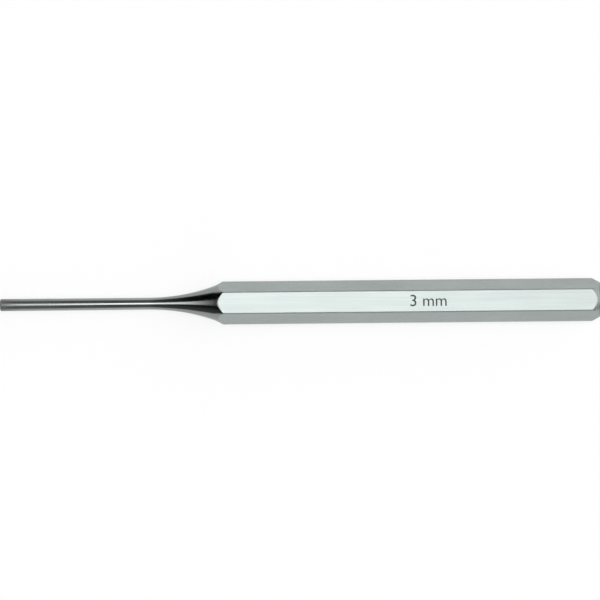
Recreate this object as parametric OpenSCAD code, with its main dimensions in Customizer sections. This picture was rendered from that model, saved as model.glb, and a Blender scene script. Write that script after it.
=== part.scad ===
// Pin punch for driving 3 mm pins, made from one bar of hexagonal steel.
// One end of the bar is turned down to a parallel pin, through a long hollow flare,
// and the other end is chamfered to a flat face that the hammer strikes.
// The punch lies along X on one of its flats, with the tip at -X and the head at +X.
// The origin is under the middle of the punch, on the surface that it lies on.
// The bar is one piece of steel. Its nodes are the zones that the maker works
// differently, and each zone meets the next face to face, with no joint between them.

/* [Overall] */
// Length from the face of the tip to the struck face
overall_length = 150; // [120:1:200]

/* [Pin] */
// Diameter of the parallel pin
pin_diameter = 3; // [2:0.1:5]
// Length of the parallel pin, from its face to the start of the flare
pin_length = 37.5; // [20:0.5:60]
// Length of the finely ground end of the pin
tip_length = 5; // [2:0.5:10]
// Edge break round the face of the tip, measured along and across the pin
tip_edge_break = 0.3; // [0.1:0.05:0.6]

/* [Flare] */
// Radius of the hollow curve between the pin and the hexagon
flare_curve_radius = 47.5; // [30:0.5:70]

/* [Hexagonal shank] */
// Distance between opposite flats of the hexagon
across_flats = 9.4; // [8:0.1:14]
// Rounding along the six long edges of the hexagon
long_edge_radius = 0.4; // [0.2:0.1:1.2]

/* [Head] */
// Length of the head's chamfer along the punch, from the long edges to the struck face
head_chamfer_length = 2; // [0.5:0.1:3]
// Angle between the head's chamfer and the axis of the punch
head_chamfer_angle = 27; // [15:1:45]

/* [Hidden] */

pin_radius = pin_diameter / 2;
apothem = across_flats / 2;
// The corner roundings are centred on a smaller hexagon, and reach out to the corner radius.
rounding_centre_radius = (apothem - long_edge_radius) / cos(30);
corner_radius = rounding_centre_radius + long_edge_radius;
// The flare and the head each keep this much of the full hexagon, so that the curves that
// shape them run out on the long edges before the next zone starts.
full_section_margin = 0.3;
// The flare leaves the pin tangentially, and its curve runs out where it reaches the long edges.
flare_rise = corner_radius - pin_radius;
flare_curve_length = sqrt(flare_rise * (2 * flare_curve_radius - flare_rise));
flare_length = flare_curve_length + full_section_margin;
// The chamfer's cone leaves the long edges and narrows to the struck face.
struck_face_radius = corner_radius - head_chamfer_length * tan(head_chamfer_angle);
head_length = head_chamfer_length + full_section_margin;
head_cone_radius = struck_face_radius + head_length * tan(head_chamfer_angle);

// Places along the punch, measured from the face of the tip.
flare_start = pin_length;
shank_start = flare_start + flare_length;
head_start = overall_length - head_length;

// Each rounded long edge is drawn as this many narrow flats.
edge_rounding_steps = 6;
$fn = 96;

function polar(radius, angle) = radius * [cos(angle), sin(angle)];

// Stands a solid that was drawn along +Z at its place on the lying punch.
module along_punch(start) {
  translate([start - overall_length / 2, 0, apothem]) rotate([0, 90, 0]) children();
}

// Hexagon with rounded corners, with a flat on each side of X and a corner on each side of Y.
module hexagon_section() {
  polygon([
    for (corner = [30:60:330], step = [0:edge_rounding_steps])
      polar(rounding_centre_radius, corner)
        + polar(long_edge_radius, corner - 30 + 60 * step / edge_rounding_steps)
  ]);
}

module hexagon_bar(length) {
  linear_extrude(height = length) hexagon_section();
}

// End of the pin that meets the workpiece, with its sharp edge broken.
module driving_tip() {
  color([0.50, 0.52, 0.52]) along_punch(0) {
    cylinder(h = tip_edge_break, r1 = pin_radius - tip_edge_break, r2 = pin_radius);
    translate([0, 0, tip_edge_break]) cylinder(h = tip_length - tip_edge_break, r = pin_radius);
  }
}

// Rest of the parallel pin, which follows the driven pin through its hole.
module parallel_pin() {
  color([0.56, 0.58, 0.58]) along_punch(tip_length)
    cylinder(h = pin_length - tip_length, r = pin_radius);
}

// Turned curve from the pin up to the long edges, which leaves a rounded tongue on each flat.
module flare() {
  color([0.42, 0.45, 0.44]) along_punch(flare_start) intersection() {
    hexagon_bar(flare_length);
    rotate_extrude() difference() {
      square([pin_radius + flare_curve_radius, flare_length]);
      translate([pin_radius + flare_curve_radius, 0]) circle(r = flare_curve_radius);
    }
  }
}

// Hexagonal grip, left at the full section of the bar.
module hex_shank() {
  color([0.76, 0.78, 0.77]) along_punch(shank_start) hexagon_bar(head_start - shank_start);
}

// Chamfered end with the flat face that the hammer strikes.
module striking_head() {
  color([0.70, 0.72, 0.72]) along_punch(head_start) intersection() {
    hexagon_bar(head_length);
    cylinder(h = head_length, r1 = head_cone_radius, r2 = struck_face_radius);
  }
}

driving_tip();
parallel_pin();
flare();
hex_shank();
striking_head();
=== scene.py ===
# Builds the looks of a 3 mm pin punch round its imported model: skins for the five zones of
# the bar, a plain size mark, the floor, the light and the camera.
# The punch lies along X on one of its flats, with the tip at -X and the struck face at +X.
# All lengths are in metres.

import math

import bmesh
import bpy
import numpy as np
from bpy.props import FloatProperty, FloatVectorProperty, PointerProperty, StringProperty
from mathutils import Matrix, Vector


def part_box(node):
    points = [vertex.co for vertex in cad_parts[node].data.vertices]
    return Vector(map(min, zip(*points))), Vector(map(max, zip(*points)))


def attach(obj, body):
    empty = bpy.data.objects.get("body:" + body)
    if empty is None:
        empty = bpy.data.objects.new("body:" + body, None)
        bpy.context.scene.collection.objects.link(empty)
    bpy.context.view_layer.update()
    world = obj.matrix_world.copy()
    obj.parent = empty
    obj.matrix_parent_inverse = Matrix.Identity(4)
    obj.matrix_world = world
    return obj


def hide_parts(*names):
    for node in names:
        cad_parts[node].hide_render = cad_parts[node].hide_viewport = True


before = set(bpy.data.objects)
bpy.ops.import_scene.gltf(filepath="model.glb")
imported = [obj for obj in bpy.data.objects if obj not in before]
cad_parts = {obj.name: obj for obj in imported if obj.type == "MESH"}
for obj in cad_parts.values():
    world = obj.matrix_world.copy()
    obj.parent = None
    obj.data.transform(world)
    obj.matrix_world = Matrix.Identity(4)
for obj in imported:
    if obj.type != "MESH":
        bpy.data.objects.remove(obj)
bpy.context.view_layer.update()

bl_info = {
    "name": "Pin punch",
    "version": (1, 0, 0),
    "blender": (4, 5, 0),
    "location": "3D View > Sidebar > Pin punch",
    "description": "Builds a turned and ground pin punch with its finishes, floor, light and camera",
    "category": "Object",
}

MM = 0.001
BODY = "root"
SIXTH = math.radians(60)
COSINE_30 = math.cos(math.radians(30))
TANGENT_30 = math.tan(math.radians(30))

# Columns round the bar: across each flat, and round each long edge.
FLAT_COLUMNS = 24
EDGE_COLUMNS = 10
# Columns round the pin, which has no flats.
PIN_COLUMNS = 96
# Points on the curve that rounds off one corner of a profile.
CORNER_POINTS = 7
# Rows across one side of the soft edge where two surfaces meet.
SOFT_ROWS = 5
# The soft edge ends a little before its rows do, so that the rows past it are exact.
SOFT_REACH = 1.05
# Steps along the flare's curve, along a flat beside a soft edge, along the chamfer, and from the rim of
# the struck face to its middle.
CURVE_STEPS = 72
FLAT_STEPS = 4
CHAMFER_STEPS = 6
FACE_STEPS = 8
# Two faces that meet at a larger angle than this are shaded as a sharp corner.
SHARP_ANGLE = math.radians(40)
# Places nearer than this are the same, and so are radii nearer than the second.
SAME_PLACE = 0.001 * MM
SAME_RADIUS = 0.002 * MM

# Settings that several nodes share. SMOOTH carries a value from one range to another, with soft ends, and
# MULTIPLY_ADD adds the product of two values to a third.
SMOOTH = {"clamp": True, "interpolation_type": "SMOOTHSTEP"}
ADD = {"operation": "ADD"}
SUBTRACT = {"operation": "SUBTRACT"}
DIVIDE = {"operation": "DIVIDE"}
MULTIPLY_ADD = {"operation": "MULTIPLY_ADD"}
COLOUR_BLEND = {"data_type": "RGBA", "blend_type": "MIX"}
# A Mix node names its sockets for numbers and for colours alike, so those for colours go by number.
MIX_SHARE = 0
MIX_DARK = 6
MIX_LIGHT = 7
MIX_COLOUR = 2
# Nearly all of a noise's values lie between these.
NOISE_RANGE = (0.3, 0.7)


def node_points(name):
    """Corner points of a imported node's mesh, as an array of x, y, z."""
    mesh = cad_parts[name].data
    points = np.empty(len(mesh.vertices) * 3)
    mesh.vertices.foreach_get("co", points)
    return points.reshape(-1, 3)


def node_radii(name):
    """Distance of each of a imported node's points from the axis of the punch."""
    points = node_points(name)
    return np.hypot(points[:, 1], points[:, 2] - AXIS_HEIGHT)


def radius_at(name, place):
    """Largest distance from the axis among a node's points at one place along the punch."""
    here = np.abs(node_points(name)[:, 0] - place) < SAME_PLACE
    return float(node_radii(name)[here].max())


def full_radius_places(name):
    """First and last place along the punch where a node still reaches its largest radius."""
    radii = node_radii(name)
    places = node_points(name)[radii > radii.max() - SAME_RADIUS, 0]
    return float(places.min()), float(places.max())


# Section of the bar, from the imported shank. A hexagon's rounded corners are centred on a
# smaller hexagon: corner = (apothem - edge) / cos 30 + edge, which is solved here for edge.
shank_low, shank_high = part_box("hex_shank")
APOTHEM = (shank_high.z - shank_low.z) / 2
CORNER_RADIUS = (shank_high.y - shank_low.y) / 2
LONG_EDGE_RADIUS = (APOTHEM - CORNER_RADIUS * COSINE_30) / (1 - COSINE_30)
EDGE_CENTRE_RADIUS = CORNER_RADIUS - LONG_EDGE_RADIUS
# A flat ends this far from its middle, as an angle about the axis.
FLAT_END_ANGLE = math.atan((APOTHEM - LONG_EDGE_RADIUS) * TANGENT_30 / APOTHEM)
AXIS_HEIGHT = (shank_high.z + shank_low.z) / 2

# Places along the punch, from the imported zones.
TIP_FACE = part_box("driving_tip")[0].x
TIP_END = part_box("driving_tip")[1].x
FLARE_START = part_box("flare")[0].x
FLARE_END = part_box("flare")[1].x
HEAD_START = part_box("striking_head")[0].x
STRUCK_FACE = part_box("striking_head")[1].x

# Pin, flare and head, from the points of their packed zones.
PIN_RADIUS = radius_at("parallel_pin", FLARE_START)
TIP_FACE_RADIUS = radius_at("driving_tip", TIP_FACE)
TIP_BREAK = full_radius_places("driving_tip")[0] - TIP_FACE
FLARE_RISE = CORNER_RADIUS - PIN_RADIUS
FLARE_LENGTH = full_radius_places("flare")[0] - FLARE_START
# The flare leaves the pin tangentially, so length^2 + rise^2 = 2 x radius x rise.
FLARE_CURVE_RADIUS = (FLARE_LENGTH ** 2 + FLARE_RISE ** 2) / (2 * FLARE_RISE)
STRUCK_FACE_RADIUS = radius_at("striking_head", STRUCK_FACE)
CHAMFER_START = full_radius_places("striking_head")[1]
CHAMFER_SLOPE = (CORNER_RADIUS - STRUCK_FACE_RADIUS) / (STRUCK_FACE - CHAMFER_START)


def linear(hex_colour):
    """Turns an sRGB colour such as #B3B8B6 into linear red, green and blue."""
    channels = np.array([int(hex_colour[start:start + 2], 16) for start in (1, 3, 5)]) / 255
    low = channels / 12.92
    high = ((channels + 0.055) / 1.055) ** 2.4
    return tuple(float(value) for value in np.where(channels <= 0.04045, low, high))


class PunchSizes(bpy.types.PropertyGroup):
    """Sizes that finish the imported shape, and the words, height and place of its size mark."""

    edge_softness: FloatProperty(
        name="Edge softness",
        description="Difference in radius over which two surfaces of the bar run into each other",
        default=0.12 * MM,
        min=0.01 * MM,
        max=0.13 * MM,
        unit="LENGTH",
        subtype="DISTANCE",
    )
    lead_length: FloatProperty(
        name="Lead length",
        description="How far before the packed flare's end its steeper lead onto the hexagon starts",
        default=1.95 * MM,
        min=1.9 * MM,
        max=4 * MM,
        unit="LENGTH",
        subtype="DISTANCE",
    )
    lead_angle: FloatProperty(
        name="Lead angle",
        description="Angle between the flare's lead and the axis of the punch",
        default=math.radians(30),
        min=math.radians(25),
        max=math.radians(45),
        unit="ROTATION",
        subtype="ANGLE",
    )
    lead_softness: FloatProperty(
        name="Lead softness",
        description="Difference in radius over which the flare, its lead and the hexagon run into each other",
        default=0.2 * MM,
        min=0.01 * MM,
        max=0.3 * MM,
        unit="LENGTH",
        subtype="DISTANCE",
    )
    rim_break: FloatProperty(
        name="Rim break",
        description="How far from its corner the rim of an end face starts to round off",
        default=0.1 * MM,
        min=0.02 * MM,
        max=0.14 * MM,
        unit="LENGTH",
        subtype="DISTANCE",
    )
    mark_height: FloatProperty(
        name="Mark height",
        description="Height of the figures of the size mark",
        default=3 * MM,
        min=1 * MM,
        max=4 * MM,
        unit="LENGTH",
        subtype="DISTANCE",
    )
    mark_place: FloatProperty(
        name="Mark place",
        description="Place of the middle of the size mark along the punch",
        default=32 * MM,
        unit="LENGTH",
        subtype="DISTANCE",
    )
    mark_text: StringProperty(
        name="Mark text",
        description="Size mark on the upper flat, which names the pin's diameter",
        default="3 mm",
    )


class PunchFinishes(bpy.types.PropertyGroup):
    """Colours, roughness and metallic value of the steel, and the colours of its mark and the floor."""

    satin_light: FloatVectorProperty(
        name="Satin chrome, light",
        description="Colour of the satin chrome between the drawing lines",
        default=linear("#A9B0AE"),
        min=0,
        max=1,
        subtype="COLOR",
    )
    satin_dark: FloatVectorProperty(
        name="Satin chrome, dark",
        description="Colour of the satin chrome in the drawing lines",
        default=linear("#848D8B"),
        min=0,
        max=1,
        subtype="COLOR",
    )
    satin_roughness: FloatProperty(
        name="Satin roughness",
        description="Roughness of the satin chrome",
        default=0.225,
        min=0,
        max=1,
        subtype="FACTOR",
    )
    satin_metallic: FloatProperty(
        name="Satin metallic",
        description="Metallic value of the satin chrome, whose matt plate scatters the rest of the light",
        default=0.7,
        min=0,
        max=1,
        subtype="FACTOR",
    )
    # Towards the flare the light colour gives way to the dark one, as painted shade of the flare's hollow.
    polished_light: FloatVectorProperty(
        name="Polished steel, light",
        description="Colour of the polished steel on the pin, where the wheel reaches it best",
        default=linear("#9B9E9D"),
        min=0,
        max=1,
        subtype="COLOR",
    )
    polished_dark: FloatVectorProperty(
        name="Polished steel, dark",
        description="Colour of the polished steel in the hollow of the flare",
        default=linear("#898D8C"),
        min=0,
        max=1,
        subtype="COLOR",
    )
    polished_roughness: FloatProperty(
        name="Polished roughness",
        description="Roughness of the turned and polished steel",
        default=0.15,
        min=0,
        max=1,
        subtype="FACTOR",
    )
    ground_light: FloatVectorProperty(
        name="Ground steel, light",
        description="Colour of the ground tip between its grinding marks",
        default=linear("#909392"),
        min=0,
        max=1,
        subtype="COLOR",
    )
    ground_dark: FloatVectorProperty(
        name="Ground steel, dark",
        description="Colour of the ground tip in its grinding marks",
        default=linear("#858887"),
        min=0,
        max=1,
        subtype="COLOR",
    )
    ground_roughness: FloatProperty(
        name="Ground roughness",
        description="Roughness of the ground tip, where it meets the pin",
        default=0.3,
        min=0,
        max=1,
        subtype="FACTOR",
    )
    mark_colour: FloatVectorProperty(
        name="Mark colour",
        description="Colour of the oxide that the laser leaves in the size mark",
        default=linear("#454948"),
        min=0,
        max=1,
        subtype="COLOR",
    )
    floor_colour: FloatVectorProperty(
        name="Floor colour",
        description="Colour of the matt floor",
        default=linear("#FAFAFA"),
        min=0,
        max=1,
        subtype="COLOR",
    )


class StudioLight(bpy.types.PropertyGroup):
    """Levels and sizes of the studio's light, with white paper at 1."""

    softbox_level: FloatProperty(
        name="Softbox level",
        description="Brightness of the softbox over the punch",
        default=3.15,
        min=0,
    )
    softbox_width: FloatProperty(
        name="Softbox width",
        description="Half the softbox's width across the punch, as a share of its height over the floor",
        default=0.215,
        min=0.05,
    )
    dark_side: FloatProperty(
        name="Dark side level",
        description="Brightness of the dark end of the room, beyond the tip, on its lighter side",
        default=0.12,
        min=0,
    )
    ceiling_level: FloatProperty(
        name="Ceiling level",
        description="Brightness of the ceiling round the softbox, without what is added over the shank",
        default=0.13,
        min=0,
    )
    far_end: FloatProperty(
        name="Far end level",
        description="Brightness of the far wall beyond the tip, behind the dark end of the room",
        default=0.5,
        min=0,
    )
    light_side: FloatProperty(
        name="Light side level",
        description="Brightness of the light end of the room, without what is added over the shank",
        default=1.05,
        min=0,
    )
    lamp_level: FloatProperty(
        name="Lamp level",
        description="Share of the floor's light that comes straight down from the lamp",
        default=0.41,
        min=0,
    )
    lamp_angle: FloatProperty(
        name="Lamp angle",
        description="Angle that the lamp takes up in the sky, which softens its shadow",
        default=math.radians(6),
        min=0,
        subtype="ANGLE",
        unit="ROTATION",
    )
    floor_glow: FloatProperty(
        name="Floor glow",
        description="Share of the floor's brightness that the punch's shadow can't darken",
        default=0.6,
        min=0,
        max=1,
        subtype="FACTOR",
    )


def round_angles(columns):
    """Angles of evenly spaced columns round the punch, from +Y towards +Z."""
    return np.arange(columns) * 2 * math.pi / columns


def bar_angles():
    """Angles of the columns round the bar, from +Y towards +Z.

    One sixth runs from the middle of a long edge to the middle of the next: half an edge, a flat and half
    an edge. The five other sixths repeat it 60 degrees on.
    """
    middle = SIXTH / 2
    half_edge = EDGE_COLUMNS // 2
    before = np.linspace(0, middle - FLAT_END_ANGLE, half_edge, endpoint=False)
    flat = np.linspace(middle - FLAT_END_ANGLE, middle + FLAT_END_ANGLE, FLAT_COLUMNS, endpoint=False)
    after = np.linspace(middle + FLAT_END_ANGLE, SIXTH, half_edge, endpoint=False)
    sixth = np.concatenate([before, flat, after])
    return (np.arange(6)[:, None] * SIXTH + sixth).ravel()


def hexagon_radius(angles):
    """Distance from the axis to the skin of the hexagonal bar, in each direction.

    With t the angle from the middle of the nearest flat, the flat is at apothem / cos t. Past the flat's end
    comes the rounded edge: with c the distance of its centre from the axis, r its radius and
    d = 30 degrees - t, it is at c cos d + sqrt(r^2 - c^2 sin^2 d).
    """
    from_flat = np.abs(angles % SIXTH - SIXTH / 2)
    from_edge = SIXTH / 2 - from_flat
    flat = APOTHEM / np.cos(from_flat)
    under_root = LONG_EDGE_RADIUS ** 2 - (EDGE_CENTRE_RADIUS * np.sin(from_edge)) ** 2
    edge = EDGE_CENTRE_RADIUS * np.cos(from_edge) + np.sqrt(np.maximum(under_root, 0))
    return np.where(from_flat <= FLAT_END_ANGLE, flat, edge)


def flare_radius(places):
    """Radius of the turned flare: pin radius + R - sqrt(R^2 - s^2), with s the way from the flare's start."""
    way = places - FLARE_START
    return PIN_RADIUS + FLARE_CURVE_RADIUS - np.sqrt(FLARE_CURVE_RADIUS ** 2 - way ** 2)


def chamfer_radius(places):
    """Radius of the head's chamfer: struck face radius + slope x the way to the struck face."""
    return STRUCK_FACE_RADIUS + CHAMFER_SLOPE * (STRUCK_FACE - places)


def soft_minimum(first, second, softness):
    """The smaller of two radii, rounded off where they differ by less than the softness.

    It is min(a, b) - max(softness - |a - b|, 0)^2 / (4 softness).
    """
    overlap = np.maximum(softness - np.abs(first - second), 0)
    return np.minimum(first, second) - overlap ** 2 / (4 * softness)


def soft_maximum(first, second, softness):
    """The larger of two radii, rounded off in the same way."""
    return -soft_minimum(-first, -second, softness)


def rounded_profile(corners, cut):
    """Rounds off the inner corners of a profile of places and radii.

    Each corner B becomes the curve (1 - t)^2 A + 2 t (1 - t) B + t^2 C, with A and C on the profile, the cut
    away from B on each side.
    """
    corners = np.array(corners)
    inner = corners[1:-1]
    back = corners[:-2] - inner
    forward = corners[2:] - inner
    start = inner + cut * back / np.linalg.norm(back, axis=1, keepdims=True)
    end = inner + cut * forward / np.linalg.norm(forward, axis=1, keepdims=True)
    t = np.linspace(0, 1, CORNER_POINTS)[None, :, None]
    curves = (1 - t) ** 2 * start[:, None] + 2 * t * (1 - t) * inner[:, None] + t ** 2 * end[:, None]
    return np.concatenate([corners[:1], curves.reshape(-1, 2), corners[-1:]])


def round_the_axis(places, radii, angles):
    """Points of a skin round the axis: x = place, y = radius cos angle, z = axis height + radius sin angle.

    Places and radii are grids of rows along the punch by columns round it, or one column that serves all.
    """
    shape = (len(places), len(angles))
    places = np.broadcast_to(places, shape)
    radii = np.broadcast_to(radii, shape)
    across = radii * np.cos(angles)
    up = AXIS_HEIGHT + radii * np.sin(angles)
    return np.stack([places, across, up], axis=-1)


def closed_skin(name, points, row_materials=None):
    """Mesh over a grid of points, with rows along the punch from -X to +X and columns round it.

    Neighbouring rows are joined by four-sided faces, and the first and last row are closed by a fan round
    their middle point. row_materials gives the number of the material between each row and the next.
    """
    rows, columns = points.shape[:2]
    index = np.arange(rows * columns).reshape(rows, columns)
    following = np.roll(index, -1, axis=1)
    sides = np.stack([index[:-1], following[:-1], following[1:], index[1:]], axis=-1).reshape(-1, 4)
    start_middle = np.full(columns, rows * columns)
    end_middle = start_middle + 1
    start_fan = np.stack([start_middle, following[0], index[0]], axis=-1)
    end_fan = np.stack([end_middle, index[-1], following[-1]], axis=-1)
    middles = points[[0, -1]].mean(axis=1)
    vertices = np.concatenate([points.reshape(-1, 3), middles])
    mesh = bpy.data.meshes.new(name)
    mesh.from_pydata(vertices.tolist(), [], sides.tolist() + start_fan.tolist() + end_fan.tolist())
    if row_materials is not None:
        ends = [np.full(columns, row_materials[0]), np.full(columns, row_materials[-1])]
        numbers = np.concatenate([np.repeat(row_materials, columns), *ends])
        mesh.polygons.foreach_set("material_index", numbers.astype(np.int32))
    mesh.shade_smooth()
    mesh.set_sharp_from_angle(angle=SHARP_ANGLE)
    mesh.update()
    return mesh


def add_piece(mesh, materials, nodes):
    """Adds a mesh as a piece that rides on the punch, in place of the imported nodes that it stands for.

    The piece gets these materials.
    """
    piece = bpy.data.objects.new(mesh.name, mesh)
    bpy.context.scene.collection.objects.link(piece)
    for material in materials:
        mesh.materials.append(material)
    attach(piece, BODY)
    if nodes:
        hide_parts(*nodes)
    return piece


def add_node(tree, kind, settings=None, inputs=None):
    """Adds a node with its settings and links.

    Inputs are given by name or number, or as a list in the order of the node's sockets. Each is a value, an
    output to link, or a node whose first output is linked.
    """
    node = tree.nodes.new(kind)
    for name, value in (settings or {}).items():
        setattr(node, name, value)
    if isinstance(inputs, list):
        inputs = dict(enumerate(inputs))
    for key, value in (inputs or {}).items():
        if isinstance(value, bpy.types.Node):
            value = value.outputs[0]
        if isinstance(value, bpy.types.NodeSocket):
            tree.links.new(value, node.inputs[key])
        else:
            node.inputs[key].default_value = value
    return node


def new_material(name):
    """Adds a material with an empty node tree, and gives both."""
    material = bpy.data.materials.new(name)
    material.use_nodes = True
    material.node_tree.nodes.clear()
    return material, material.node_tree


def grain(tree, along, across, detail=2.0):
    """Noise in the object's own coordinates, whose features are this long along and across the punch."""
    place = add_node(tree, "ShaderNodeTexCoord")
    spread = add_node(
        tree,
        "ShaderNodeMapping",
        inputs={"Vector": place.outputs["Object"], "Scale": (1 / along, 1 / across, 1 / across)},
    )
    return add_node(
        tree,
        "ShaderNodeTexNoise",
        inputs={"Vector": spread, "Scale": 1.0, "Detail": detail, "Roughness": 0.5},
    )


def rings(tree, pitch):
    """Noise that changes with the distance from the axis alone, in rings of this pitch."""
    place = add_node(tree, "ShaderNodeTexCoord")
    centred = add_node(
        tree,
        "ShaderNodeMapping",
        inputs={"Vector": place.outputs["Object"], "Location": (0, 0, -AXIS_HEIGHT), "Scale": (0, 1, 1)},
    )
    distance = add_node(tree, "ShaderNodeVectorMath", {"operation": "LENGTH"}, [centred])
    steps = add_node(tree, "ShaderNodeMath", DIVIDE, [distance.outputs["Value"], pitch])
    return add_node(
        tree,
        "ShaderNodeTexNoise",
        {"noise_dimensions": "1D"},
        {"W": steps, "Scale": 1.0, "Detail": 2.0, "Roughness": 0.5},
    )


def place_along(tree):
    """Place along the punch, in the object's own coordinates. It is the first output of the node."""
    place = add_node(tree, "ShaderNodeTexCoord")
    return add_node(tree, "ShaderNodeSeparateXYZ", inputs=[place.outputs["Object"]])


def metal_surface(tree, colours, share, roughness, height, depth, metallic=1.0):
    """Closes a metal's tree. The share blends its dark and light colours, and its height is so deep."""
    dark, light = colours
    colour = add_node(
        tree, "ShaderNodeMix", COLOUR_BLEND, {MIX_SHARE: share, MIX_DARK: (*dark, 1), MIX_LIGHT: (*light, 1)}
    )
    bump = add_node(tree, "ShaderNodeBump", inputs={"Strength": 1.0, "Distance": depth, "Height": height})
    surface = add_node(
        tree,
        "ShaderNodeBsdfPrincipled",
        inputs={
            "Base Color": colour.outputs[MIX_COLOUR],
            "Metallic": metallic,
            "Roughness": roughness,
            "Normal": bump,
        },
    )
    add_node(tree, "ShaderNodeOutputMaterial", inputs={"Surface": surface})


def satin_chrome_drawn_steel(finishes):
    """Satin chrome over a drawn hexagonal bar.

    The bar keeps faint lines along it from the drawing die, under a matt plate that scatters light widely, so
    the eye sees soft light flats with no bright lines at the edges. A metallic value under 1 stands for the
    light that the plate's finest grit throws back from all sides.
    """
    material, tree = new_material("satin_chrome_drawn_steel")
    # Drawing lines are about 0.1 mm wide. They are drawn three times as wide, to show at all.
    lines = grain(tree, along=20 * MM, across=0.3 * MM)
    # The plate's slight clouds follow the flow of the bath, a thumb's width at a time.
    clouds = grain(tree, along=16 * MM, across=9 * MM)
    # Grit of the satin blast, drawn coarser than its 0.05 mm.
    grit = grain(tree, along=0.25 * MM, across=0.25 * MM, detail=1.0)
    # Share of the light colour in a line and between the lines, and what the clouds add to it.
    line_share, plain_share, cloud_share = 0.25, 0.45, 0.6
    roughness_spread = 0.03
    grit_height = 0.5
    depth = 0.0014 * MM
    lined = add_node(tree, "ShaderNodeMapRange", SMOOTH, [lines, *NOISE_RANGE, line_share, plain_share])
    share = add_node(tree, "ShaderNodeMath", MULTIPLY_ADD, [clouds, cloud_share, lined])
    smoothest = finishes.satin_roughness - roughness_spread
    roughest = finishes.satin_roughness + roughness_spread
    roughness = add_node(tree, "ShaderNodeMapRange", SMOOTH, [clouds, *NOISE_RANGE, smoothest, roughest])
    height = add_node(tree, "ShaderNodeMath", MULTIPLY_ADD, [grit, grit_height, lines])
    colours = (finishes.satin_dark, finishes.satin_light)
    metal_surface(tree, colours, share, roughness, height, depth, finishes.satin_metallic)
    return material


def satin_chrome_turned_steel(finishes):
    """Satin chrome over the turned chamfer and face of the head.

    The lathe leaves rings round the axis, which the plate softens but keeps.
    """
    material, tree = new_material("satin_chrome_turned_steel")
    # Turning rings are 0.1 mm apart. They are drawn at twice that, to show at all.
    marks = rings(tree, pitch=0.2 * MM)
    # Grit of the satin blast, drawn coarser than its 0.05 mm.
    grit = grain(tree, along=0.25 * MM, across=0.25 * MM, detail=1.0)
    # How much smoother the smoothest places are than the flats, and how much rougher the roughest.
    smoother, rougher = 0.05, 0.02
    grit_height = 0.4
    depth = 0.003 * MM
    share = add_node(tree, "ShaderNodeMapRange", SMOOTH, [marks, *NOISE_RANGE, 0.0, 1.0])
    smoothest = finishes.satin_roughness - smoother
    roughest = finishes.satin_roughness + rougher
    roughness = add_node(tree, "ShaderNodeMapRange", SMOOTH, [grit, *NOISE_RANGE, smoothest, roughest])
    height = add_node(tree, "ShaderNodeMath", MULTIPLY_ADD, [grit, grit_height, marks])
    colours = (finishes.satin_dark, finishes.satin_light)
    metal_surface(tree, colours, share, roughness, height, depth, finishes.satin_metallic)
    return material


def polished_turned_steel(finishes):
    """Turned and polished tool steel.

    The polish leaves a dark gloss with a narrow bright streak. Its colour is painted darker towards and in
    the hollow of the flare, as painted shade of that hollow. Faint rings from the lathe stay in it, and it
    grows duller over the last part of the pin, where the tool has been in holes.
    """
    material, tree = new_material("polished_turned_steel")
    # Polished turning marks are 0.05 mm apart. They are drawn five times as wide, to show at all.
    marks = grain(tree, along=0.25 * MM, across=12 * MM)
    # Patches that the polishing wheel left a little rougher or smoother are a few millimetres long.
    patches = grain(tree, along=6 * MM, across=3 * MM)
    # Share of the light colour on the pin, what the marks add to it, and what wear takes from it at the tip.
    pin_share, marks_share, worn_share = 0.85, 0.2, 0.55
    # The painted shade of the flare's hollow comes in between these places.
    hollow_shade_start, hollow_shade_full = FLARE_START - 2 * MM, FLARE_START + 4 * MM
    # Wear has darkened the pin up to the first of these places, and roughened it up to the second.
    darker_end, rougher_end = TIP_END + 32 * MM, TIP_END + 25 * MM
    worn_roughness = 0.16
    roughness_spread = 0.03
    depth = 0.0006 * MM
    along = place_along(tree)
    # Painted shade: from the pin into the flare's hollow, the colour runs to the dark one.
    hollow_shaded = add_node(tree, "ShaderNodeMapRange", SMOOTH, [along, hollow_shade_start, hollow_shade_full, pin_share, 0.0])
    marked = add_node(tree, "ShaderNodeMath", MULTIPLY_ADD, [marks, marks_share, hollow_shaded])
    darker = add_node(tree, "ShaderNodeMapRange", SMOOTH, [along, TIP_END, darker_end, worn_share, 0.0])
    share = add_node(tree, "ShaderNodeMath", SUBTRACT, [marked, darker])
    smoothest = finishes.polished_roughness - roughness_spread
    roughest = finishes.polished_roughness + roughness_spread
    patched = add_node(tree, "ShaderNodeMapRange", SMOOTH, [patches, *NOISE_RANGE, smoothest, roughest])
    worn = add_node(tree, "ShaderNodeMapRange", SMOOTH, [along, TIP_END, rougher_end, worn_roughness, 0.0])
    roughness = add_node(tree, "ShaderNodeMath", ADD, [patched, worn])
    colours = (finishes.polished_dark, finishes.polished_light)
    metal_surface(tree, colours, share, roughness, marks, depth)
    return material


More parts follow.
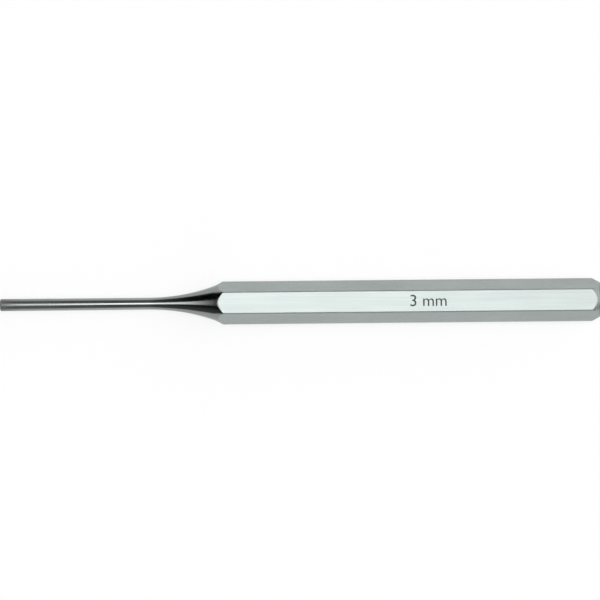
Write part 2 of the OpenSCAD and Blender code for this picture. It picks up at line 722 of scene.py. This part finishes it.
def ground_hardened_steel(finishes):
    """Hardened steel, ground round with a fine wheel.

    The wheel leaves close scratches round the tip, which break up the pin's streak. It grows duller towards
    the face, which does the work.
    """
    material, tree = new_material("ground_hardened_steel")
    # Grinding scratches are 0.03 mm wide. They are drawn as 0.2 mm, to show at all.
    scratches = grain(tree, along=0.2 * MM, across=3 * MM, detail=3.0)
    # Rings on the face are 0.05 mm apart. They are drawn three times as wide, to show at all.
    face_rings = rings(tree, pitch=0.15 * MM)
    # Share of the light colour between the scratches, and what the rings add to it.
    plain_share, ring_share = 0.6, 0.4
    worn_roughness = 0.22
    roughness_spread = 0.02
    depth = 0.0015 * MM
    scratched = add_node(tree, "ShaderNodeMapRange", SMOOTH, [scratches, *NOISE_RANGE, 0.0, plain_share])
    share = add_node(tree, "ShaderNodeMath", MULTIPLY_ADD, [face_rings, ring_share, scratched])
    smoothest = finishes.ground_roughness - roughness_spread
    roughest = finishes.ground_roughness + roughness_spread
    fresh = add_node(tree, "ShaderNodeMapRange", SMOOTH, [scratches, *NOISE_RANGE, smoothest, roughest])
    along = place_along(tree)
    worn = add_node(tree, "ShaderNodeMapRange", SMOOTH, [along, TIP_FACE, TIP_END, worn_roughness, 0.0])
    roughness = add_node(tree, "ShaderNodeMath", ADD, [fresh, worn])
    colours = (finishes.ground_dark, finishes.ground_light)
    metal_surface(tree, colours, share, roughness, scratches, depth)
    return material


def laser_annealed_steel(finishes):
    """Steel darkened by a marking laser.

    The heat leaves a thin matt oxide, dark grey and a little uneven, with no depth to speak of. It hides most
    of the metal's own gloss.
    """
    material, tree = new_material("laser_annealed_steel")
    # The laser's passes are 0.05 mm apart. They are drawn three times as wide, to show at all.
    passes = grain(tree, along=0.15 * MM, across=0.6 * MM)
    # Colour where two passes overlap, as a share of the oxide's.
    overlap_shade = 0.8
    dark = tuple(channel * overlap_shade for channel in finishes.mark_colour)
    share = add_node(tree, "ShaderNodeMapRange", SMOOTH, [passes, *NOISE_RANGE, 0.0, 1.0])
    colour = add_node(
        tree,
        "ShaderNodeMix",
        COLOUR_BLEND,
        {MIX_SHARE: share, MIX_DARK: (*dark, 1), MIX_LIGHT: (*finishes.mark_colour, 1)},
    )
    surface = add_node(
        tree,
        "ShaderNodeBsdfPrincipled",
        inputs={"Base Color": colour.outputs[MIX_COLOUR], "Metallic": 0.2, "Roughness": 0.6},
    )
    add_node(tree, "ShaderNodeOutputMaterial", inputs={"Surface": surface})
    return material


def matt_floor_paper(finishes, glow):
    """Matt white background paper, which spreads light evenly and shows no gloss.

    Part of what the camera, metal and glass see of it is its own white, so the shadow on it stays pale.
    """
    material, tree = new_material("matt_floor_paper")
    # Paper fibres clump over 1 to 2 mm, and are hardly darker there.
    fibres = grain(tree, along=1.5 * MM, across=1.5 * MM)
    fibre_shade = 0.995
    dark = tuple(channel * fibre_shade for channel in finishes.floor_colour)
    colour = add_node(
        tree,
        "ShaderNodeMix",
        COLOUR_BLEND,
        {MIX_SHARE: fibres, MIX_DARK: (*dark, 1), MIX_LIGHT: (*finishes.floor_colour, 1)},
    )
    lit = add_node(
        tree, "ShaderNodeBsdfDiffuse", inputs={"Color": colour.outputs[MIX_COLOUR], "Roughness": 0.0}
    )
    own = add_node(tree, "ShaderNodeEmission", inputs={"Color": (1, 1, 1, 1), "Strength": 1.0})
    ray = add_node(tree, "ShaderNodeLightPath")
    seen = ray.outputs["Is Camera Ray"]
    for kind in ("Is Glossy Ray", "Is Transmission Ray"):
        seen = add_node(tree, "ShaderNodeMath", ADD, [seen, ray.outputs[kind]])
    share = add_node(tree, "ShaderNodeMath", {"operation": "MULTIPLY", "use_clamp": True}, [seen, glow])
    surface = add_node(tree, "ShaderNodeMixShader", inputs=[share, lit, own])
    add_node(tree, "ShaderNodeOutputMaterial", inputs={"Surface": surface})
    return material


def material_of(maker, finishes):
    """The material that a function makes, made once and shared after that."""
    return bpy.data.materials.get(maker.__name__) or maker(finishes)


class PUNCH_OT_driving_tip(bpy.types.Operator):
    """Builds the ground end of the pin, with its edge break and its flat face"""

    bl_idname = "punch.driving_tip"
    bl_label = "Driving tip"

    def execute(self, context):
        """The profile runs from the face's inner ring to its rim, over the edge break and along the pin."""
        sizes = context.scene.punch_sizes
        corners = [
            (TIP_FACE, TIP_FACE_RADIUS / 2),
            (TIP_FACE, TIP_FACE_RADIUS),
            (TIP_FACE + TIP_BREAK, PIN_RADIUS),
            (TIP_END, PIN_RADIUS),
        ]
        profile = rounded_profile(corners, sizes.rim_break)
        points = round_the_axis(profile[:, :1], profile[:, 1:], round_angles(PIN_COLUMNS))
        mesh = closed_skin("ground_tip", points)
        finish = material_of(ground_hardened_steel, context.scene.punch_finishes)
        add_piece(mesh, [finish], ["driving_tip"])
        return {"FINISHED"}


class PUNCH_OT_parallel_pin(bpy.types.Operator):
    """Builds the polished parallel pin"""

    bl_idname = "punch.parallel_pin"
    bl_label = "Parallel pin"

    def execute(self, context):
        """Rows of the pin's own radius, about this step apart: x = place, radius = pin radius."""
        step = 1 * MM
        rows = round((FLARE_START - TIP_END) / step) + 1
        places = np.linspace(TIP_END, FLARE_START, rows)[:, None]
        points = round_the_axis(places, np.full_like(places, PIN_RADIUS), round_angles(PIN_COLUMNS))
        mesh = closed_skin("polished_pin", points)
        finish = material_of(polished_turned_steel, context.scene.punch_finishes)
        add_piece(mesh, [finish], ["parallel_pin"])
        return {"FINISHED"}


class PUNCH_OT_flare(bpy.types.Operator):
    """Builds the turned flare, and the rounded tongues that it leaves on the six flats"""

    bl_idname = "punch.flare"
    bl_label = "Flare"

    def execute(self, context):
        """The turned curve ends in a lead, a steeper cone onto the hexagon.

        The cone meets the hexagon at the lead's start + (hexagon - radius at the lead's start) / tan(lead
        angle). The rows lean with that line.
        """
        sizes = context.scene.punch_sizes
        softness = sizes.lead_softness
        angles = bar_angles()
        hexagon = hexagon_radius(angles)
        lead_start = FLARE_START + FLARE_LENGTH - sizes.lead_length
        lead_radius = flare_radius(lead_start)
        lead_slope = math.tan(sizes.lead_angle)
        meeting = lead_start + (hexagon - lead_radius) / lead_slope
        reach = np.minimum(SOFT_REACH * softness / lead_slope, FLARE_END - meeting)
        turned = np.linspace(0, 1, CURVE_STEPS, endpoint=False)[:, None]
        soft = np.linspace(-1, 1, 2 * SOFT_ROWS + 1)[:, None]
        flat = np.linspace(0, 1, FLAT_STEPS + 1)[1:, None]
        turned_rows = FLARE_START + turned * (meeting - reach - FLARE_START)
        soft_rows = meeting + soft * reach
        flat_rows = meeting + reach + flat * (FLARE_END - meeting - reach)
        places = np.concatenate([turned_rows, soft_rows, flat_rows])
        lead = lead_radius + lead_slope * (places - lead_start)
        radii = soft_minimum(soft_maximum(flare_radius(places), lead, softness), hexagon, softness)
        turned_count = len(turned_rows) + SOFT_ROWS
        row_materials = (np.arange(len(places) - 1) >= turned_count).astype(int)
        mesh = closed_skin("turned_flare", round_the_axis(places, radii, angles), row_materials)
        finishes = context.scene.punch_finishes
        turned_finish = material_of(polished_turned_steel, finishes)
        satin_finish = material_of(satin_chrome_drawn_steel, finishes)
        add_piece(mesh, [turned_finish, satin_finish], ["flare"])
        return {"FINISHED"}


class PUNCH_OT_hex_shank(bpy.types.Operator):
    """Builds the hexagonal shank, with its satin chrome and rounded long edges"""

    bl_idname = "punch.hex_shank"
    bl_label = "Hexagonal shank"

    def execute(self, context):
        """Rows of the bar's own section, about this step apart: x = place, radius = hexagon's radius."""
        step = 2 * MM
        rows = round((HEAD_START - FLARE_END) / step) + 1
        places = np.linspace(FLARE_END, HEAD_START, rows)[:, None]
        angles = bar_angles()
        mesh = closed_skin("satin_shank", round_the_axis(places, hexagon_radius(angles), angles))
        finish = material_of(satin_chrome_drawn_steel, context.scene.punch_finishes)
        add_piece(mesh, [finish], ["hex_shank"])
        return {"FINISHED"}


class PUNCH_OT_striking_head(bpy.types.Operator):
    """Builds the chamfered head, with the flat face that the hammer strikes"""

    bl_idname = "punch.striking_head"
    bl_label = "Striking head"

    def execute(self, context):
        """Rows along the flats and the chamfer's cone, then round the rim and in rings to the face's middle.

        The cone meets the hexagon at struck face - (hexagon - face radius) / slope, and the rows lean with
        that line.
        """
        sizes = context.scene.punch_sizes
        angles = bar_angles()
        hexagon = hexagon_radius(angles)
        meeting = STRUCK_FACE - (hexagon - STRUCK_FACE_RADIUS) / CHAMFER_SLOPE
        reach = np.minimum(SOFT_REACH * sizes.edge_softness / CHAMFER_SLOPE, meeting - HEAD_START)
        corners = [
            (CHAMFER_START, CORNER_RADIUS),
            (STRUCK_FACE, STRUCK_FACE_RADIUS),
            (STRUCK_FACE, 0),
        ]
        rim = rounded_profile(corners, sizes.rim_break)[1:-1]
        flat = np.linspace(0, 1, FLAT_STEPS, endpoint=False)[:, None]
        soft = np.linspace(-1, 1, 2 * SOFT_ROWS + 1)[:, None]
        cone = np.linspace(0, 1, CHAMFER_STEPS, endpoint=False)[1:, None]
        flat_rows = HEAD_START + flat * (meeting - reach - HEAD_START)
        soft_rows = meeting + soft * reach
        cone_start = meeting + reach
        cone_rows = cone_start + cone * (rim[0, 0] - cone_start)
        bar_rows = np.concatenate([flat_rows, soft_rows, cone_rows])
        bar_radii = soft_minimum(chamfer_radius(bar_rows), hexagon, sizes.edge_softness)
        ring_radii = rim[-1, 1] * np.linspace(1, 0, FACE_STEPS, endpoint=False)[1:, None]
        end_places = np.concatenate([rim[:, :1], np.full_like(ring_radii, STRUCK_FACE)])
        end_radii = np.concatenate([rim[:, 1:], ring_radii])
        everywhere = np.ones_like(angles)
        places = np.concatenate([bar_rows, end_places * everywhere])
        radii = np.concatenate([bar_radii, end_radii * everywhere])
        flat_count = len(flat_rows) + SOFT_ROWS
        row_materials = (np.arange(len(places) - 1) >= flat_count).astype(int)
        mesh = closed_skin("chamfered_head", round_the_axis(places, radii, angles), row_materials)
        finishes = context.scene.punch_finishes
        flat_finish = material_of(satin_chrome_drawn_steel, finishes)
        turned_finish = material_of(satin_chrome_turned_steel, finishes)
        add_piece(mesh, [flat_finish, turned_finish], ["striking_head"])
        return {"FINISHED"}


class PUNCH_OT_size_mark(bpy.types.Operator):
    """Marks the pin's diameter on the upper flat, in plain figures"""

    bl_idname = "punch.size_mark"
    bl_label = "Size mark"

    def execute(self, context):
        """The figures are text made a mesh, sunk half way into the flat, then moved to their place."""
        sizes = context.scene.punch_sizes
        # Height of a figure as a share of the text's size.
        figure_share = 0.73
        thickness = 0.02 * MM
        words = bpy.data.curves.new("size_mark_text", "FONT")
        words.body = sizes.mark_text
        words.size = sizes.mark_height / figure_share
        words.extrude = thickness / 2
        words.align_x = "CENTER"
        words.align_y = "CENTER"
        holder = bpy.data.objects.new("size_mark_text", words)
        context.scene.collection.objects.link(holder)
        evaluated = holder.evaluated_get(context.evaluated_depsgraph_get())
        mesh = bpy.data.meshes.new_from_object(evaluated)
        bpy.data.objects.remove(holder)
        bpy.data.curves.remove(words)
        if not mesh.vertices:
            raise RuntimeError("the size mark has no figures")
        mesh.name = "size_mark"
        points = np.empty(len(mesh.vertices) * 3)
        mesh.vertices.foreach_get("co", points)
        points = points.reshape(-1, 3) + (sizes.mark_place, 0, AXIS_HEIGHT + APOTHEM)
        mesh.vertices.foreach_set("co", points.ravel())
        joined = bmesh.new()
        joined.from_mesh(mesh)
        bmesh.ops.remove_doubles(joined, verts=joined.verts, dist=SAME_PLACE)
        bmesh.ops.recalc_face_normals(joined, faces=joined.faces)
        joined.to_mesh(mesh)
        joined.free()
        mesh.materials.clear()
        finish = material_of(laser_annealed_steel, context.scene.punch_finishes)
        add_piece(mesh, [finish], [])
        return {"FINISHED"}


def light_the_sky(world, light):
    """Lights the punch from all round, by direction.

    White paper fills the lower half and fades out over the horizon: low down towards the ends of the room,
    and higher up straight across the punch. Over it is the room, which is dark beyond the tip with a lighter
    wall far behind, lighter over the shank, and lightest beyond the head. A softbox hangs overhead. A point
    of it is found where a ray meets a level plane one unit up, at x / z and y / z.
    """
    # Sine of the height over the horizon at which the paper starts to fade and has faded out, straight across
    # the punch and towards the ends of the room. The second pair holds from this far off square.
    paper_across = (0.0, 0.5)
    paper_at_ends = (0.062, 0.09)
    ends_reached = 0.2
    # Where the softbox fades towards the tip, is full, and fades out towards the head. Towards the tip, a
    # weak tail of it goes on.
    tip_end, tip_full, tail = -0.95, 0.0, 0.05
    head_full, head_end = -0.05, 0.36
    # Its middle across the punch, the width of its soft edges, and the heights between which it appears.
    softbox_middle = 0.05
    softbox_fade = 0.1
    softbox_rise = (0.05, 0.1)
    # It is slanted, so it looks wider where it comes nearer, towards the tip. At this place, each half of it
    # is this much wider.
    nearest, nearest_width = -1.4, 0.26
    # No ray counts as lower than this where it meets the softbox's plane.
    least_height = 0.02
    # Parts of the room along the punch, from -1 at the horizon beyond the tip to 1 beyond the head.
    far_wall = (-1.0, -0.8)
    dark_end = (-0.5, 0.05)
    over_shank, over_shank_level = (-0.02, 0.04), 0.3
    light_end = (0.2, 0.8)
    # Across the punch, the dark end has its lighter side at -Y. The light end is dark at -Y and dimmed by a
    # share at +Y.
    dark_end_side = (-0.9, -0.3)
    light_end_near_side = (-0.5, -0.1)
    light_end_far_side, far_side_loss = (0.3, 0.7), 0.3

    world.use_nodes = True
    tree = world.node_tree
    tree.nodes.clear()
    place = add_node(tree, "ShaderNodeTexCoord")
    ray = add_node(tree, "ShaderNodeSeparateXYZ", inputs=[place.outputs["Generated"]])
    lengthwise = ray.outputs["X"]
    sideways = ray.outputs["Y"]
    upward = ray.outputs["Z"]

    height = add_node(tree, "ShaderNodeMath", {"operation": "MAXIMUM"}, [upward, least_height])
    along = add_node(tree, "ShaderNodeMath", DIVIDE, [lengthwise, height])
    across = add_node(tree, "ShaderNodeMath", DIVIDE, [sideways, height])
    off_middle = add_node(tree, "ShaderNodeMath", SUBTRACT, [across, softbox_middle])
    away = add_node(tree, "ShaderNodeMath", {"operation": "ABSOLUTE"}, [off_middle])
    half_width = light.softbox_width
    half = add_node(
        tree, "ShaderNodeMapRange", SMOOTH, [along, nearest, 0.0, half_width + nearest_width, half_width]
    )
    inner = add_node(tree, "ShaderNodeMath", SUBTRACT, [half, softbox_fade / 2])
    outer = add_node(tree, "ShaderNodeMath", ADD, [half, softbox_fade / 2])
    fades = (
        [upward, *softbox_rise, 0.0, 1.0],
        [along, tip_end, tip_full, tail, 1.0],
        [along, head_full, head_end, 1.0, 0.0],
        [away, inner, outer, 1.0, 0.0],
    )
    softbox = light.softbox_level
    for fade in fades:
        share = add_node(tree, "ShaderNodeMapRange", SMOOTH, fade)
        softbox = add_node(tree, "ShaderNodeMath", {"operation": "MULTIPLY"}, [softbox, share])

    darkness = add_node(tree, "ShaderNodeMapRange", SMOOTH, [sideways, *dark_end_side, light.dark_side, 0.0])
    room_parts = (
        [lengthwise, *dark_end, darkness, light.ceiling_level],
        [lengthwise, *far_wall, light.far_end, 0.0],
        [lengthwise, *over_shank, 0.0, over_shank_level],
    )
    room = 0.0
    for part in room_parts:
        level = add_node(tree, "ShaderNodeMapRange", SMOOTH, part)
        room = add_node(tree, "ShaderNodeMath", ADD, [room, level])
    near_side = add_node(tree, "ShaderNodeMapRange", SMOOTH, [sideways, *light_end_near_side, 0.0, 1.0])
    far_side = add_node(
        tree, "ShaderNodeMapRange", SMOOTH, [sideways, *light_end_far_side, 0.0, far_side_loss]
    )
    lightness = add_node(tree, "ShaderNodeMath", SUBTRACT, [near_side, far_side])
    highest = light.light_side - light.ceiling_level
    rise = add_node(tree, "ShaderNodeMapRange", SMOOTH, [lengthwise, *light_end, 0.0, highest])
    room = add_node(tree, "ShaderNodeMath", MULTIPLY_ADD, [rise, lightness, room])

    off_square = add_node(tree, "ShaderNodeMath", {"operation": "ABSOLUTE"}, [lengthwise])
    paper_start, paper_end = (
        add_node(tree, "ShaderNodeMapRange", SMOOTH, [off_square, 0.0, ends_reached, straight, at_ends])
        for straight, at_ends in zip(paper_across, paper_at_ends)
    )
    paper = add_node(tree, "ShaderNodeMapRange", SMOOTH, [upward, paper_start, paper_end, 1.0, 0.0])
    room = add_node(tree, "ShaderNodeMix", {"data_type": "FLOAT"}, {"Factor": paper, "A": room, "B": 1.0})
    level = add_node(tree, "ShaderNodeMath", ADD, [room, softbox])
    background = add_node(tree, "ShaderNodeBackground", inputs={"Color": (1, 1, 1, 1), "Strength": level})
    add_node(tree, "ShaderNodeOutputWorld", inputs={"Surface": background})


class PUNCH_OT_stage(bpy.types.Operator):
    """Lays the floor, lights the studio and stands the camera over the punch"""

    bl_idname = "punch.stage"
    bl_label = "Stage"

    def execute(self, context):
        """The camera looks straight down, so far up that the punch just fills the width of the picture."""
        scene = context.scene
        scene.view_settings.view_transform = "Standard"
        scene.world = bpy.data.worlds.new("studio")
        light_the_sky(scene.world, scene.studio_light)

        # Half the floor's side, so large that its edge is lost in the horizon, and its depth under the punch.
        floor_half = 20.0
        floor_drop = 0.02 * MM
        corners = np.array([(-1, -1, 0), (1, -1, 0), (1, 1, 0), (-1, 1, 0)]) * floor_half
        corners[:, 2] = -floor_drop
        floor_mesh = bpy.data.meshes.new("floor")
        floor_mesh.from_pydata(corners.tolist(), [], [(0, 1, 2, 3)])
        floor_mesh.materials.append(matt_floor_paper(scene.punch_finishes, scene.studio_light.floor_glow))
        floor = bpy.data.objects.new("floor", floor_mesh)
        scene.collection.objects.link(floor)

        lamp = bpy.data.lights.new("overhead_lamp", "SUN")
        lamp.energy = scene.studio_light.lamp_level * math.pi
        lamp.angle = scene.studio_light.lamp_angle
        lamp_object = bpy.data.objects.new("overhead_lamp", lamp)
        # The lamp stands for the light that the softbox gives the floor, so metal doesn't mirror it again.
        lamp_object.visible_glossy = False
        scene.collection.objects.link(lamp_object)

        view = bpy.data.cameras.new("camera")
        view.type = "PERSP"
        view.sensor_width = 36.0
        view.lens = 300.0
        punch_length = STRUCK_FACE - TIP_FACE
        distance = punch_length * view.lens / view.sensor_width
        view.clip_start = 0.1
        view.clip_end = 10.0
        camera = bpy.data.objects.new("camera", view)
        # The punch is turned a little in the picture, with its head end higher, and lies below the middle.
        turn = math.radians(-0.543)
        below_middle = 0.565 * MM
        middle = (TIP_FACE + STRUCK_FACE) / 2
        camera.rotation_euler = (0, 0, turn)
        camera.location = (
            middle - math.sin(turn) * below_middle,
            math.cos(turn) * below_middle,
            AXIS_HEIGHT + distance,
        )
        scene.collection.objects.link(camera)
        scene.camera = camera
        return {"FINISHED"}


OPERATORS = (
    PUNCH_OT_stage,
    PUNCH_OT_driving_tip,
    PUNCH_OT_parallel_pin,
    PUNCH_OT_flare,
    PUNCH_OT_hex_shank,
    PUNCH_OT_striking_head,
    PUNCH_OT_size_mark,
)


class VIEW3D_PT_pin_punch(bpy.types.Panel):
    """Lists the pieces of the punch and its stage, with their sizes and colours"""

    bl_label = "Pin punch"
    bl_idname = "VIEW3D_PT_pin_punch"
    bl_space_type = "VIEW_3D"
    bl_region_type = "UI"
    bl_category = "Pin punch"

    def draw(self, context):
        """One button for each operator, then the properties of each group."""
        for operator in OPERATORS:
            self.layout.operator(operator.bl_idname)
        for group in (context.scene.punch_sizes, context.scene.punch_finishes, context.scene.studio_light):
            box = self.layout.box()
            for name in group.bl_rna.properties.keys():
                if name not in ("rna_type", "name"):
                    box.prop(group, name)


CLASSES = (PunchSizes, PunchFinishes, StudioLight, *OPERATORS, VIEW3D_PT_pin_punch)


def register():
    """Registers the classes, and gives the scene its sizes, finishes and light."""
    for each in CLASSES:
        bpy.utils.register_class(each)
    bpy.types.Scene.punch_sizes = PointerProperty(type=PunchSizes)
    bpy.types.Scene.punch_finishes = PointerProperty(type=PunchFinishes)
    bpy.types.Scene.studio_light = PointerProperty(type=StudioLight)


def unregister():
    """Takes back what register did."""
    del bpy.types.Scene.studio_light
    del bpy.types.Scene.punch_finishes
    del bpy.types.Scene.punch_sizes
    for each in reversed(CLASSES):
        bpy.utils.unregister_class(each)


def main():
    """Builds the stage and every piece."""
    register()
    bpy.ops.punch.stage()
    bpy.ops.punch.driving_tip()
    bpy.ops.punch.parallel_pin()
    bpy.ops.punch.flare()
    bpy.ops.punch.hex_shank()
    bpy.ops.punch.striking_head()
    bpy.ops.punch.size_mark()


if __name__ == "__main__":
    main()
